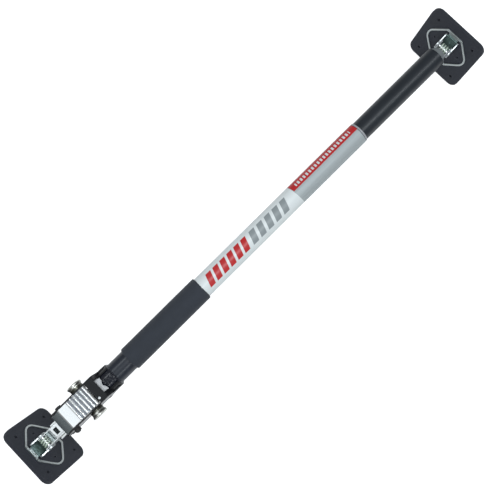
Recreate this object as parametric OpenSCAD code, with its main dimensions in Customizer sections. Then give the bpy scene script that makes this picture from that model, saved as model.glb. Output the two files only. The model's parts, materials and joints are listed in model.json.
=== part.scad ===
// Telescopic drywall support pole, closed and lying on the lower edges of its two swivel pads.
// The pole lies along X: the ratchet jack is at the -X end and the plain end at +X.
// Z is up, towards the side of the jack's thumb lever. All lengths are in millimetres.

/* [Pole] */
// Outside diameter of the outer tube
tube_d = 38.4; // [37:0.1:39.4]
// Wall of the outer tube
tube_wall = 1; // [0.8:0.1:1.4]
// Length of the outer tube
tube_len = 599; // [560:1:640]
// Length of the inner tube
inner_len = 645; // [560:1:800]
// Wall of the inner tube
inner_wall = 1.2; // [0.8:0.1:2]
// Gap all round between the two tubes
slide_gap = 0.2; // [0.15:0.05:0.3]
// Length of the nylon ring on the mouth of the outer tube
mouth_len = 3; // [2:0.5:6]

/* [Grip and label] */
// Length of the foam grip
grip_len = 169; // [120:1:190]
// Thickness of the foam grip
grip_t = 2.8; // [1.5:0.1:5]
// Distance from the jack's collar to the grip
grip_gap = 36; // [20:1:50]
// Rounding of the grip's ends
grip_round = 1.2; // [0.5:0.1:1.4]
// Bare stretch of tube between the grip and the label
label_gap = 1; // [1:1:20]
// Thickness of the printed film
label_t = 0.2; // [0.1:0.05:0.3]
// Distance from the label to the mouth of the outer tube
label_end = 1; // [0.5:0.5:10]

/* [Twist lock] */
// Distance between the closed rack's inner end and the lock
lock_gap = 21.2; // [2:0.1:60]
// Length of the split sleeve that grips the outer tube
sleeve_len = 28; // [20:1:34]
// Diameter of the eccentric journal
journal_d = 22; // [16:0.5:24]
// Offset of the journal from the axis of the pole
journal_off = 1.5; // [1:0.1:2.5]
// Play of the sleeve on its journal
journal_play = 0.5; // [0.45:0.05:0.6]
// Length of the plug inside the inner tube
plug_len = 30; // [20:1:50]

/* [Rack] */
// Width and height of the square rack tube
rack_w = 23; // [21:0.2:23.4]
// Wall of the rack tube
rack_wall = 2; // [1.5:0.1:2.5]
// Length of the rack behind its swivel pin
rack_len = 230; // [220:1:240]
// Corner radius of the rack tube
rack_round = 2.4; // [2.1:0.1:3]
// Distance from one rack slot to the next
slot_pitch = 11.5; // [10.5:0.1:12]
// Length of a rack slot along the pole
slot_len = 7.4; // [6:0.1:8]
// Width of a rack slot
slot_w = 11.6; // [11:0.1:13]
// Number of slots in each face
slot_count = 16; // [10:1:16]
// Distance from the swivel pin to the middle of the first slot
slot_first = 28.5; // [28:0.1:34]

/* [Jack body] */
// Distance from the swivel pin to the outer tube
jack_out = 141; // [140:0.5:150]
// Width inside the stamped body
body_in = 39; // [38.8:0.1:42]
// Sheet thickness of the body
body_t = 2.5; // [2:0.1:3]
// Height of the body's walls above the axis of the pole
body_top = 38; // [37:0.5:42]
// Depth of the body's walls below the axis of the pole
body_low = 12; // [11:0.5:13]
// Length of the body in front of the outer tube
body_len = 102; // [100:0.5:103]
// Length of the collar on the outer tube
collar_len = 17; // [15:0.5:28]
// Width of the opening in the top of the collar
collar_open = 26; // [20:1:30]
// Length of the bridge between the walls
bridge_len = 15; // [12:0.5:15.5]
// Distance from the outer tube to the bridge
bridge_gap = 7.5; // [6.5:0.1:9]
// Sheet thickness of the guide channel and its strap
guide_t = 2; // [1.5:0.1:2]
// Thickness of the nylon liners
liner_t = 1.2; // [0.8:0.1:1.4]
// Length of the guide channel in front of the body
guide_out = 17.5; // [10:0.5:18.5]

/* [Lever] */
// Distance from the outer tube to the lever's bolt
bolt_back = 83.3; // [83:0.1:85]
// Height of the lever's bolt above the axis of the pole
bolt_up = 20; // [19.5:0.1:20.5]
// Diameter of the lever's bolt
bolt_d = 6; // [5:0.5:6]
// Sheet thickness of the lever
lever_t = 2; // [1.5:0.1:2]
// Width of the lever
lever_w = 37.6; // [36:0.1:38]
// Height of the lever's top over its bolt
lever_rise = 21; // [20.5:0.1:23]
// Length of the lever behind its bolt
lever_back = 59.4; // [57:0.2:59.6]
// Length of the lever in front of its bolt
lever_nose = 16; // [15:0.5:17]
// Travel of the lever in degrees
lever_swing = 15.5; // [14:0.5:15.5]
// Length of the arms that carry the driving pawl
arm_len = 41; // [40.5:0.1:44]
// Distance from one rib of the lever to the next
rib_pitch = 7.1; // [6:0.1:7.5]
// Radius of a rib
rib_r = 2; // [1.5:0.1:2.5]
// Number of ribs
rib_count = 5; // [3:1:5]

/* [Release] */
// Distance from the outer tube to the release shaft
shaft_back = 40; // [38:0.1:40.5]
// Height of the release shaft above the axis of the pole
shaft_up = 19.5; // [19.2:0.1:19.8]
// Diameter of the release shaft
shaft_d = 6; // [5:0.5:6]
// Diameter of a knob's flange
knob_d = 27.4; // [22:0.2:30]
// Diameter of a knob's neck
knob_neck_d = 23.8; // [18:0.2:24]
// Length of a knob
knob_len = 12; // [10:0.2:16]
// Width of both pawls
pawl_w = 10; // [8:0.5:10.5]

/* [Feet] */
// Width of the square rubber pad
pad_w = 113; // [100:1:130]
// Thickness of the rubber pad
pad_t = 12; // [8:0.5:16]
// Corner radius of the rubber pad
pad_round = 15; // [12:0.5:20]
// Bevel round the pad's grip face
pad_chamfer = 5; // [3:0.5:6]
// Tilt of the resting pad at the jack's end from square, in degrees
jack_tilt = 24.5; // [18:0.5:28]
// Tilt of the resting pad at the plain end from square, in degrees
top_tilt = 19; // [14:0.5:28]
// Distance from the swivel pin to the back of the pad
pad_back = 14; // [13.8:0.1:18]
// Distance of the swivel pin from the middle of the pad
pad_off = 12; // [8:0.5:14]
// Distance between neighbouring screw holes
screw_span = 78; // [70:1:82]
// Diameter of a screw hole
screw_d = 5; // [4:0.5:6]
// Length of the six-sided plate
plate_len = 70; // [60:1:72]
// Width of the six-sided plate
plate_w = 101; // [92:1:104]
// Distance of the swivel pin from the middle of the plate
plate_off = 6.5; // [4:0.5:8]
// Thickness of the six-sided plate
plate_t = 2; // [1.5:0.1:2.2]
// Width of the plate's rim
rim_w = 4; // [3:0.5:6]
// Sheet thickness of the swivel bracket
bracket_t = 2.5; // [2:0.1:3]
// Diameter of a swivel pin
pin_d = 8; // [6:0.5:8]
// Wire of the swivel springs
spring_wire = 2.2; // [1.6:0.1:2.4]

/* [Hidden] */
$fn = 64;

// Fits: a turning or sliding fit all round, a clear running gap, and how far a cut runs over
fit_gap = 0.05;
run_gap = 0.3;
cut_over = 5;

// Height of the axis over a resting pad's lower edge, and reach of its raised edge past the pin
function pad_low(a) = (pad_back + pad_t - pad_chamfer) * sin(a) + (pad_w / 2 + pad_off) * cos(a);
function pad_reach(a) = (pad_back + pad_t) * cos(a) + (pad_w / 2 - pad_off - pad_chamfer) * sin(a);

// Pole: both swivel pins with the pole closed, and the ends of both tubes
bolt_head_t = 4;
plug_flange = 3;
fitting_len = 19.8;
lock_len = bolt_head_t + sleeve_len + plug_flange + 2 * run_gap;
pin_span = rack_len + lock_gap + lock_len + inner_len + fitting_len;
jack_pin_x = (pad_reach(jack_tilt) - pad_reach(top_tilt) - pin_span) / 2;
top_pin_x = jack_pin_x + pin_span;
axis_h = max(pad_low(jack_tilt), pad_low(top_tilt));
tube_r = tube_d / 2;
tube_x0 = jack_pin_x + jack_out;
tube_x1 = tube_x0 + tube_len;
inner_r = tube_r - tube_wall - slide_gap;
inner_bore = inner_r - inner_wall;

// Swivel ends, the same on the rack tube and on the plain end
bracket_in = rack_w + 2 * run_gap;
bracket_out = bracket_in + 2 * bracket_t;
bracket_floor = pad_back - plate_t - bracket_t;
bracket_up = 20;
bracket_low = 12;
ear_r = 8;
function cheek_over(half, tilt) = (bracket_floor - run_gap - half * sin(tilt)) / cos(tilt);
spring_r = ear_r - spring_wire / 2;
spring_turns = 3.5;
coil_rings = 8;
coil_sides = 6;

// Plain end fitting
cone_len = fitting_len - ear_r - run_gap;
cone_r = 10;
fitting_plug = 26;
inner_x1 = top_pin_x - fitting_len;
inner_x0 = inner_x1 - inner_len;

// Grip and label
collar_x1 = tube_x0 + collar_len;
grip_x0 = collar_x1 + grip_gap;
label_x0 = grip_x0 + grip_len + label_gap;
label_len = tube_x1 - label_end - label_x0;

// Jack body
body_x0 = tube_x0 - body_len;
body_out = body_in + 2 * body_t;
collar_r = tube_r + fit_gap;
bead = 2.4;
collar_x0 = tube_x0 - bead;
bridge_x1 = tube_x0 - bridge_gap;
bridge_x0 = bridge_x1 - bridge_len;
shoulder_len = bridge_gap + collar_len * 0.15;
shoulder_steps = 10;
body_corner = 6;
body_window = rack_w + 1;
front_run = 10;
front_drop = 16;

// Guide, from the rack outwards: running gap, liner, channel
liner_in = rack_w / 2 + run_gap;
liner_out = liner_in + liner_t;
guide_outer = liner_out + guide_t;
guide_x0 = body_x0 - guide_out;
guide_x1 = collar_x0 - run_gap;
guide_lip = -rack_w / 2 + 9.5;
strap_x0 = bridge_x0 + 2;
strap_x1 = guide_x1;
window_share = 1.2;
rivet_d = 5;
rivet_head_r = 4.2;
rivet_head_t = 0.8;
rivet_z = -7.2;
rivet_spacer_r = 3.5;
rivet_xs = [body_x0 + rivet_spacer_r, tube_x0 - body_len / 2, tube_x0 - shaft_back * 0.37];
anchor_y = 13.7;
anchor_d = 3.6;

// Lever, in a frame that has the bolt's axis as its origin
bolt_x = tube_x0 - bolt_back;
lever_in = lever_w - 2 * lever_t;
lever_flat = 2.8;
nose_up = 8;
skirt = 6;
skirt_notch = 3.5;
hub_r = 8;
arm_r = 5.5;
arm_x = arm_len * sin(lever_swing / 2);
arm_z = -arm_len * cos(lever_swing / 2);
arm_half = 5;
lip_r = 4;
rib_first = lever_back - 9.5 - (rib_count - 1) * rib_pitch;
bolt_nut_t = 5.6;
bolt_end = 1.6;
hex_r_share = 0.96;
spacer_r = 4.5;
lever_wire = 1.4;
lever_turns = 6;
stop_x = bolt_x - 11.5;
stop_r = 2.6;
stop_z = bolt_up - 4.6;

// Pawls and their pins
pawl_pin_d = 5;
pawl_hub_r = 4.4;
pawl_reach = 14;
pawl_wire = 1;
pawl_turns = 4;
hold_hub_r = 5.5;
hold_reach = 14.5;
shaft_x = tube_x0 - shaft_back;
release_wire = 1.2;
release_turns = 4;
knob_round = 1.4;

// Pads and plates
plate_end_w = 33;
strip_w = 20;
apex_r = 18;
apex_steps = 6;
bracket_rivet_d = 5;
bracket_rivet_z = 8;
groove_w = 3;
groove_t = 2;
groove_pitch = 17;
groove_half_count = 3;
window_hole = [5, 27];
window_hole_d = 3.2;
window_hole_t = 4;

// Basic shapes
// A solid or hollow round bar along X, on the axis of the pole
module bar_x(x0, len, r, bore = 0) {
  translate([x0, 0, 0]) rotate([0, 90, 0]) difference() {
    cylinder(h = len, r = r);
    if (bore > 0) translate([0, 0, -cut_over]) cylinder(h = len + 2 * cut_over, r = bore);
  }
}

// A round bar across the pole, from y0 to y1
module bar_y(x, z, y0, y1, r) {
  translate([x, y1, z]) rotate([90, 0, 0]) cylinder(h = y1 - y0, r = r);
}

// A flat sheet in the XZ plane, from y0 to y1, with the outline of its children
module sheet_y(y0, y1) {
  translate([0, y1, 0]) rotate([90, 0, 0]) linear_extrude(y1 - y0) children();
}

// The same sheet on both sides of the pole
module both_sheets(y0, y1) {
  sheet_y(y0, y1) children();
  sheet_y(-y1, -y0) children();
}

// A flat plate in the YZ plane, from x0 to x1, with the outline of its children
module plate_x(x0, x1) {
  translate([x0, 0, 0]) rotate([90, 0, 90]) linear_extrude(x1 - x0) children();
}

// A box between two corners
module box(low, high) {
  translate(low) cube(high - low);
}

module rounded_square(w, h, r) {
  square([w, h - 2 * r], center = true);
  square([w - 2 * r, h], center = true);
  for (y = [-1, 1], z = [-1, 1]) translate([y * (w / 2 - r), z * (h / 2 - r)]) circle(r);
}

// A rivet head or a washer, turned about Y, that stands on the plane y and points away from 0
module head_y(x, z, y, r, t, side) {
  translate([x, y, z]) rotate([side * -90, 0, 0]) rotate_extrude() polygon([
    [0, 0], [r, 0], [r, t * 0.35], [r * 0.8, t * 0.8], [r * 0.45, t], [0, t]]);
}

// One unbroken helical wire round the Y axis; its radius over a core leaves a running gap
function coil_r(core, wire) = (core + run_gap + wire / 2) / cos(180 / coil_rings);
function coil_centre(i, r, pitch) = let (a = 360 * i / coil_rings)
  [r * cos(a), pitch * i / coil_rings, r * sin(a)];
function coil_tangent(i, r, pitch) = let (a = 360 * i / coil_rings, v = 2 * PI * r,
  t = [-v * sin(a), pitch, v * cos(a)]) t / norm(t);
function coil_ring(c, t, i, wire) = let (a = 360 * i / coil_rings, n = [cos(a), 0, sin(a)],
  b = cross(t, n)) [for (k = [0:coil_sides - 1]) let (p = 360 * k / coil_sides)
  c + wire / 2 * (cos(p) * n + sin(p) * b)];
function coil_path(r, pitch, steps, wire) = concat(
  [coil_centre(0, r, pitch) - wire * coil_tangent(0, r, pitch)],
  [for (i = [0:steps]) coil_centre(i, r, pitch)],
  [coil_centre(steps, r, pitch) + wire * coil_tangent(steps, r, pitch)]);
function coil_gap(path, wire) = min([for (i = [0:len(path) - 1], j = [0:len(path) - 1])
  if (j - i > coil_rings / 2) norm(path[i] - path[j])]) - wire;

module coil(name, r, wire, len, turns) {
  steps = round(turns * coil_rings);
  pitch = (len - wire) / turns;
  path = coil_path(r, pitch, steps, wire);
  last = len(path) - 1;
  echo(str(name, " least gap to itself ", coil_gap(path, wire)));
  turn = [for (i = [0:last]) min(max(i - 1, 0), steps)];
  rings = [for (i = [0:last]) coil_ring(path[i], coil_tangent(turn[i], r, pitch), turn[i], wire)];
  points = [for (ring = rings, p = ring) p];
  walls = [for (i = [0:last - 1], k = [0:coil_sides - 1]) let (n = (k + 1) % coil_sides,
    a = i * coil_sides) each [[a + k, a + n, a + coil_sides + n],
    [a + k, a + coil_sides + n, a + coil_sides + k]]];
  start = [for (k = [1:coil_sides - 2]) [0, k + 1, k]];
  e = last * coil_sides;
  finish = [for (k = [1:coil_sides - 2]) [e, e + k, e + k + 1]];
  translate([0, (wire - len) / 2, 0]) polyhedron(points, concat(walls, start, finish));
}

// Frames
module on_axis() {
  translate([0, 0, axis_h]) children();
}

// The tilted foot at one end: the pin's axis is its origin, +X points out of the pole
module foot(side) {
  pole_end(side) rotate([0, side < 0 ? jack_tilt : top_tilt, 0]) children();
}

// The end of the pole at one side: the pin's axis is its origin, +X points out of the pole
module pole_end(side) {
  translate([side < 0 ? jack_pin_x : top_pin_x, 0, axis_h]) mirror([side < 0 ? 1 : 0, 0, 0]) children();
}

module lever_frame() {
  translate([bolt_x, 0, axis_h + bolt_up]) children();
}

// Outer tube with its grip, label and mouth ring
module outer_tube() color([0.1, 0.1, 0.12]) on_axis() {
  bar_x(tube_x0, tube_len, tube_r, tube_r - tube_wall);
}

module mouth_ring() color([0.75, 0.76, 0.78]) on_axis() {
  bar_x(tube_x1, mouth_len, tube_r, inner_r + fit_gap);
}

module grip_sleeve() color([0.2, 0.22, 0.26]) on_axis() {
  r0 = tube_r + fit_gap;
  r1 = tube_r + grip_t;
  translate([grip_x0, 0, 0]) rotate([0, 90, 0]) rotate_extrude() {
    translate([r0, 0]) square([r1 - r0 - grip_round, grip_len]);
    translate([r0, grip_round]) square([r1 - r0, grip_len - 2 * grip_round]);
    for (x = [grip_round, grip_len - grip_round]) translate([r1 - grip_round, x]) circle(grip_round);
  }
}

module label_wrap() color([0.88, 0.9, 0.9]) on_axis() {
  bar_x(label_x0, label_len, tube_r + label_t, tube_r + fit_gap / 2);
}

// Stamped jack body: two walls, a bridge between them and an open collar round the tube
shoulder_z = tube_r * 0.55;
shoulder = [for (i = [0:shoulder_steps]) let (s = i / shoulder_steps)
  [bridge_x1 + s * shoulder_len,
   body_top - (body_top - shoulder_z) * (1 - cos(180 * s)) / 2]];
wall_outline = concat([[body_x0, -body_low + body_corner], [body_x0, body_top - front_drop],
  [body_x0 + front_run, body_top]], shoulder, [[collar_x1 - body_corner, shoulder_z],
  [collar_x1, shoulder_z - body_corner], [collar_x1, -body_low / 2],
  [bridge_x1 + shoulder_len / 2, -body_low / 2], [bridge_x1, -body_low],
  [body_x0 + body_corner, -body_low]]);

module jack_body() color([0.09, 0.09, 0.1]) on_axis() difference() {
  union() {
    both_sheets(body_in / 2, body_out / 2) polygon(wall_outline);
    box([bridge_x0, -body_out / 2, body_top - body_t], [bridge_x1, body_out / 2, body_top]);
    difference() {
      sheet_y(-body_in / 2 - fit_gap, body_in / 2 + fit_gap) polygon(concat(shoulder,
        [for (i = [shoulder_steps:-1:0]) shoulder[i] - [0, body_t]]));
      box([bridge_x1, -body_window / 2, 0], [collar_x1, body_window / 2, body_out]);
    }
    difference() {
      bar_x(collar_x0, collar_x1 - collar_x0, body_out / 2);
      box([collar_x0 - cut_over, -collar_open / 2, 0],
        [collar_x1 + cut_over, collar_open / 2, body_out]);
    }
  }
  bar_x(body_x0 - cut_over, body_len + collar_len + 2 * cut_over, collar_r);
  bar_y(bolt_x, bolt_up, -body_out, body_out, bolt_d / 2 + fit_gap);
  bar_y(shaft_x, shaft_up, -body_out, body_out, shaft_d / 2 + fit_gap);
  bar_y(stop_x, stop_z, -body_out, body_out, stop_r + fit_gap);
  for (x = rivet_xs) bar_y(x, rivet_z, -body_out, body_out, rivet_d / 2 + fit_gap);
  translate([bridge_x0 + anchor_d, -anchor_y, 0]) cylinder(h = 2 * body_top, r = anchor_d / 2 + fit_gap);
}

// Fillet welds: one round the tube behind the collar, one on the tube's front edge, and a flat
// run of weld on the tube in the collar's opening
module weld_beads() color([0.12, 0.13, 0.16]) on_axis() {
  translate([collar_x1, 0, 0]) rotate([0, 90, 0]) rotate_extrude() polygon([
    [tube_r, 0], [tube_r + bead, 0], [tube_r + bead * 0.7, bead * 0.7], [tube_r, bead]]);
  translate([tube_x0 - bead, 0, 0]) rotate([0, 90, 0]) rotate_extrude() polygon([
    [tube_r - tube_wall, bead], [tube_r, bead], [tube_r, bead * 0.4],
    [tube_r - tube_wall / 2, 0], [tube_r - tube_wall, bead * 0.4]]);
  intersection() {
    bar_x(tube_x0 + run_gap, collar_len - run_gap, tube_r + bead / 2, tube_r);
    box([tube_x0, run_gap - collar_open / 2, 0], [collar_x1, collar_open / 2 - run_gap, body_out]);
  }
}

// Zinc guide channel under the rack, with nylon liners, and a strap over the rack
window_x1 = bolt_x + arm_x + pawl_hub_r + run_gap;
window_x0 = bolt_x - arm_x - pawl_reach - pawl_hub_r;
window_w = pawl_w * window_share;

module u_channel(x0, x1, inner, outer, lip) {
  difference() {
    box([x0, -outer, -outer], [x1, outer, lip]);
    box([x0 - cut_over, -inner, -inner], [x1 + cut_over, inner, lip + cut_over]);
    box([window_x0, -window_w / 2, -outer - cut_over], [window_x1, window_w / 2, 0]);
  }
}

module guide_channel() color([0.78, 0.8, 0.82]) on_axis() difference() {
  u_channel(guide_x0, guide_x1, liner_out, guide_outer, guide_lip);
  for (x = rivet_xs) bar_y(x, rivet_z, -body_out, body_out, rivet_d / 2 + fit_gap);
}

module guide_liners() color([0.92, 0.92, 0.88]) on_axis() {
  u_channel(guide_x0 + liner_t, guide_x1 - liner_t, liner_in, liner_out, guide_lip);
}

module guide_strap() color([0.85, 0.86, 0.88]) on_axis() difference() {
  box([strap_x0, -guide_outer, guide_lip], [strap_x1, guide_outer, liner_in + guide_t]);
  box([strap_x0 - cut_over, -liner_out, guide_lip - cut_over],
    [strap_x1 + cut_over, liner_out, liner_in]);
}

// Rivets through both walls into the guide channel, with a spacer on each
module body_rivets() color([0.12, 0.12, 0.13]) on_axis() for (x = rivet_xs, side = [-1, 1]) {
  y0 = side > 0 ? liner_out : -body_out / 2;
  y1 = side > 0 ? body_out / 2 : -liner_out;
  bar_y(x, rivet_z, y0, y1, rivet_d / 2);
  s0 = side > 0 ? guide_outer : -body_in / 2;
  s1 = side > 0 ? body_in / 2 : -guide_outer;
  bar_y(x, rivet_z, s0, s1, rivet_spacer_r);
  head_y(x, rivet_z, side * body_out / 2, rivet_head_r, rivet_head_t, side);
}

// Cross rivet under the lever's nose: the lever's cheeks rest on it
module stop_rivet() color([0.12, 0.12, 0.13]) on_axis() {
  bar_y(stop_x, stop_z, -body_out / 2, body_out / 2, stop_r);
  for (side = [-1, 1]) head_y(stop_x, stop_z, side * body_out / 2, rivet_head_r, rivet_head_t, side);
}

// Small rivet in the bridge that anchors the springs
module anchor_rivet() color([0.85, 0.86, 0.88]) on_axis() {
  translate([bridge_x0 + anchor_d, -anchor_y, body_top - body_t - anchor_d])
    cylinder(h = body_t + anchor_d, r = anchor_d / 2);
  translate([bridge_x0 + anchor_d, -anchor_y, body_top]) cylinder(h = anchor_d * 0.25, r = anchor_d * 0.6);
}

// Lever bolt, nut, spacer and return spring
module lever_bolt() color([0.1, 0.1, 0.11]) on_axis() {
  bar_y(bolt_x, bolt_up, -body_out / 2 - bolt_nut_t - bolt_end, body_out / 2, bolt_d / 2);
  translate([bolt_x, body_out / 2 + bolt_head_t, bolt_up]) rotate([90, 0, 0])
    cylinder(h = bolt_head_t, r = bolt_d * hex_r_share, $fn = 6);
}

module lever_nut() color([0.1, 0.1, 0.11]) on_axis() difference() {
  translate([bolt_x, -body_out / 2, bolt_up]) rotate([90, 0, 0])
    cylinder(h = bolt_nut_t, r = bolt_d * hex_r_share, $fn = 6);
  bar_y(bolt_x, bolt_up, -body_out, 0, bolt_d / 2 + fit_gap);
}

module lever_spacer() color([0.7, 0.72, 0.74]) on_axis() difference() {
  bar_y(bolt_x, bolt_up, -lever_in / 2 + run_gap, lever_in / 2 - run_gap, spacer_r);
  bar_y(bolt_x, bolt_up, -body_out, body_out, bolt_d / 2 + fit_gap);
}

module lever_spring() color([0.6, 0.6, 0.62]) lever_frame() {
  coil("lever spring", coil_r(spacer_r, lever_wire), lever_wire,
    (lever_turns + 1) * lever_wire * 1.4, lever_turns);
}

// Ribbed lever: a folded sheet with two cheeks, whose arms carry the driving pawl under the rack
plate_outline = [[-lever_nose, nose_up], [lever_flat, lever_rise],
  [lever_back - lip_r, lever_rise], [lever_back - lip_r, lever_rise - lever_t],
  [lever_flat + lever_t * 0.3, lever_rise - lever_t], [-lever_nose + lever_t * 1.7, nose_up]];
cheek_outline = [[-lever_nose + lever_t, nose_up + lever_t / 4], [lever_flat, lever_rise - lever_t / 2],
  [lever_back - lip_r, lever_rise - lever_t / 2], [lever_back - lip_r, lever_rise - lever_t - skirt_notch],
  [lever_back * 0.62, lever_rise - lever_t - skirt_notch],
  [lever_back * 0.55, lever_rise - lever_t - skirt], [hub_r * 1.7, lever_rise - lever_t - skirt],
  [hub_r, 0], [0, -hub_r], [-hub_r * 0.9, stop_z - bolt_up + stop_r + run_gap],
  [stop_x - bolt_x - stop_r, stop_z - bolt_up + stop_r + run_gap]];

module pump_lever() color([0.85, 0.87, 0.89]) lever_frame() difference() {
  union() {
    sheet_y(-lever_w / 2, lever_w / 2) polygon(plate_outline);
    intersection() {
      bar_y(lever_back - lip_r, lever_rise - lip_r, -lever_w / 2, lever_w / 2, lip_r);
      box([lever_back - lip_r, -lever_w, lever_rise - lip_r * 1.6], [lever_back, lever_w, lever_rise]);
    }
    for (i = [0:rib_count - 1]) intersection() {
      bar_y(rib_first + i * rib_pitch, lever_rise - rib_r * 0.4, -lever_w / 2, lever_w / 2, rib_r);
      box([0, -lever_w, lever_rise - lever_t], [lever_back, lever_w, lever_rise + rib_r]);
    }
    both_sheets(lever_in / 2, lever_w / 2) {
      polygon(cheek_outline);
      circle(hub_r);
      polygon([[-hub_r * 0.8, 0], [hub_r * 0.8, 0], [arm_x + arm_half, arm_z], [arm_x - arm_half, arm_z]]);
      translate([arm_x, arm_z]) circle(arm_r);
    }
  }
  bar_y(0, 0, -lever_w, lever_w, bolt_d / 2 + fit_gap);
  bar_y(arm_x, arm_z, -lever_w, lever_w, pawl_pin_d / 2 + fit_gap);
}

module drive_pawl_pin() color([0.7, 0.72, 0.74]) lever_frame() {
  bar_y(arm_x, arm_z, -lever_w / 2, lever_w / 2, pawl_pin_d / 2);
  for (side = [-1, 1]) head_y(arm_x, arm_z, side * lever_w / 2, pawl_pin_d * 0.72, lever_t / 2, side);
}

// Driving pawl: its nose stands just clear of the rack's lower face
pawl_nose_z = -rack_w / 2 - run_gap - bolt_up - arm_z;
module drive_pawl() color([0.6, 0.6, 0.62]) lever_frame() translate([arm_x, 0, arm_z]) difference() {
  sheet_y(-pawl_w / 2, pawl_w / 2) {
    circle(pawl_hub_r);
    polygon([[-pawl_reach, pawl_nose_z], [-pawl_reach + pawl_hub_r, pawl_nose_z],
      [-pawl_hub_r * 0.3, pawl_hub_r * 0.95], [0, 0], [0, -pawl_hub_r],
      [-pawl_hub_r, -pawl_hub_r * 0.7], [-pawl_reach, pawl_nose_z - pawl_hub_r * 0.8]]);
  }
  bar_y(0, 0, -pawl_w, pawl_w, pawl_pin_d / 2 + fit_gap);
}

module drive_pawl_spring() color([0.6, 0.6, 0.62]) lever_frame() {
  len = (pawl_turns + 1) * pawl_wire * 1.6;
  translate([arm_x, pawl_w / 2 + run_gap + len / 2, arm_z]) coil("drive pawl spring",
    coil_r(pawl_pin_d / 2, pawl_wire), pawl_wire, len, pawl_turns);
}

// Release shaft with a knob on each end; it carries the holding pawl
module release_shaft() color([0.7, 0.7, 0.68]) on_axis() {
  y = body_out / 2 + knob_len * 0.8;
  bar_y(shaft_x, shaft_up, -y, y, shaft_d / 2);
}

module release_knobs() color([0.62, 0.61, 0.55]) on_axis() for (side = [-1, 1]) {
  neck = knob_len * 0.45;
  flare = knob_len * 0.75;
  translate([shaft_x, side * (body_out / 2 + run_gap), shaft_up]) rotate([side * -90, 0, 0])
    rotate_extrude() difference() {
      union() {
        polygon([[0, 0], [knob_neck_d / 2, 0], [knob_neck_d / 2, neck], [knob_d / 2, flare],
          [knob_d / 2, knob_len - knob_round], [knob_d / 2 - knob_round, knob_len],
          [0, knob_len]]);
      }
      square([shaft_d / 2 + fit_gap, knob_len * 0.8]);
    }
}

// Holding pawl: its nose stands just clear of the rack's upper face
hold_nose_z = rack_w / 2 + run_gap - shaft_up;
module holding_pawl() color([0.6, 0.6, 0.62]) on_axis() translate([shaft_x, 0, shaft_up]) difference() {
  sheet_y(-pawl_w / 2, pawl_w / 2) {
    circle(hold_hub_r);
    polygon([[0, hold_hub_r], [-hold_hub_r * 1.6, 0], [-hold_reach, hold_nose_z * 0.6],
      [-hold_reach, hold_nose_z], [-hold_reach + hold_hub_r, hold_nose_z], [0, -hold_hub_r]]);
  }
  bar_y(0, 0, -pawl_w, pawl_w, shaft_d / 2 + fit_gap);
}

module release_spring() color([0.6, 0.6, 0.62]) on_axis() {
  len = (release_turns + 1) * release_wire * 1.6;
  translate([shaft_x, -pawl_w / 2 - run_gap - len / 2, shaft_up]) coil("release spring",
    coil_r(shaft_d / 2, release_wire), release_wire, len, release_turns);
}

// Square rack tube with slots above and below; its end is the fork that carries the jack's foot
module fork_bore() {
  bar_y(0, 0, -rack_w, rack_w, pin_d / 2 + fit_gap);
}

fork_slope = 13;
module rack_tube() color([0.82, 0.84, 0.86]) pole_end(-1) difference() {
  inner = rack_w - 2 * rack_wall;
  over = cheek_over(rack_w / 2, jack_tilt);
  union() {
    difference() {
      plate_x(-rack_len, over) difference() {
        rounded_square(rack_w, rack_w, rack_round);
        square(inner, center = true);
      }
      box([-ear_r - fork_slope, -inner / 2, 0], [over + cut_over, inner / 2, rack_w]);
      box([-ear_r / 4, -inner / 2, -rack_w], [over + cut_over, inner / 2, 0]);
    }
    sheet_y(-inner / 2, inner / 2) polygon([[-ear_r - fork_slope, rack_w / 2],
      [-ear_r - run_gap - rack_wall, rack_w / 4], [-ear_r - run_gap - rack_wall, rack_w / 4 - rack_wall],
      [-ear_r - fork_slope, rack_w / 2 - rack_wall]]);
  }
  fork_bore();
  for (i = [0:slot_count - 1]) translate([-slot_first - i * slot_pitch, 0, 0])
    cube([slot_len, slot_w, 2 * rack_w], center = true);
}

// Swivel pins with a flat head at each end
module swivel_pin(side) {
  y = bracket_out / 2 + fit_gap;
  pole_end(side) {
    bar_y(0, 0, -y, y, pin_d / 2);
    for (end = [-1, 1]) head_y(0, 0, end * y, pin_d * 0.62, bracket_t / 4, end);
  }
}

module swivel_spring(name, side) {
  pole_end(side) coil(name, spring_r, spring_wire, rack_w - 2 * rack_wall - 2 * run_gap, spring_turns);
}

module jack_pin() color([0.8, 0.82, 0.84]) swivel_pin(-1);
module top_pin() color([0.8, 0.82, 0.84]) swivel_pin(1);
module jack_pin_spring() color([0.66, 0.72, 0.62]) swivel_spring("jack pin spring", -1);
module top_pin_spring() color([0.66, 0.72, 0.62]) swivel_spring("top pin spring", 1);

// Feet: U bracket, riveted to a six-sided plate, on a square rubber pad
module foot_bracket(side) {
  foot(side) difference() {
    union() {
      box([bracket_floor, -bracket_out / 2, -bracket_low],
        [bracket_floor + bracket_t, bracket_out / 2, bracket_up]);
      both_sheets(bracket_in / 2, bracket_out / 2) {
        circle(ear_r);
        polygon([[0, ear_r], [bracket_floor + bracket_t, bracket_up],
          [bracket_floor + bracket_t, -bracket_low], [0, -ear_r]]);
      }
    }
    bar_y(0, 0, -bracket_out, bracket_out, pin_d / 2 + fit_gap);
    rivet_bores();
  }
}

module rivet_bores() {
  for (z = [-1, 1]) translate([0, 0, z * bracket_rivet_z]) rotate([0, 90, 0])
    cylinder(h = pad_back, r = bracket_rivet_d / 2 + fit_gap);
}

module foot_rivets(side) {
  head = bracket_rivet_d * 0.24;
  foot(side) for (z = [-1, 1]) translate([bracket_floor - head, 0, z * bracket_rivet_z])
    rotate([0, 90, 0]) {
      cylinder(h = pad_back - bracket_floor + head, r = bracket_rivet_d / 2);
      cylinder(h = head, r = bracket_rivet_d * 0.6);
    }
}

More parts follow.
